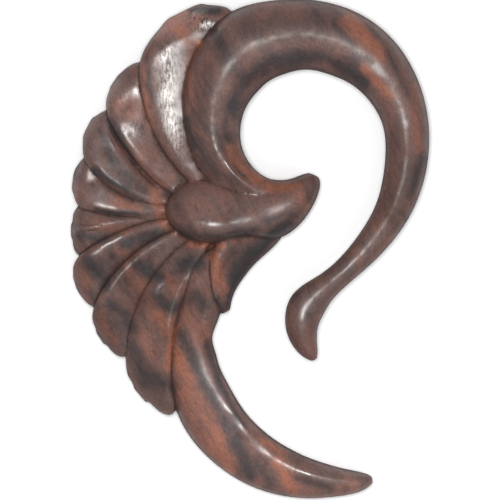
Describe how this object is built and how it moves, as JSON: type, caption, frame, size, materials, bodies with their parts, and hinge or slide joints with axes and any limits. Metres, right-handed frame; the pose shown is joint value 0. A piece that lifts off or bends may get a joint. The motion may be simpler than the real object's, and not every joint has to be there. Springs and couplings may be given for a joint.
{
  "type": "wooden ear hanger",
  "caption": "Carved hardwood ear hanger: a thick tapering hook that loops through the lobe, with a fan of overlapping feathers and a long curved tail.",
  "frame": {"origin": "centre of the outline's box, on the flat back", "axes": "+Y along the length towards the top of the loop, +X to the free side of the loop, +Z out of the carved face"},
  "size_m": [0.0504, 0.07, 0.01],
  "materials": {
    "wood": "polished dark reddish-brown hardwood with near-black streaks"
  },
  "bodies": {
    "root": {"ear_hanger": "wood"}
  },
  "joints": []
}
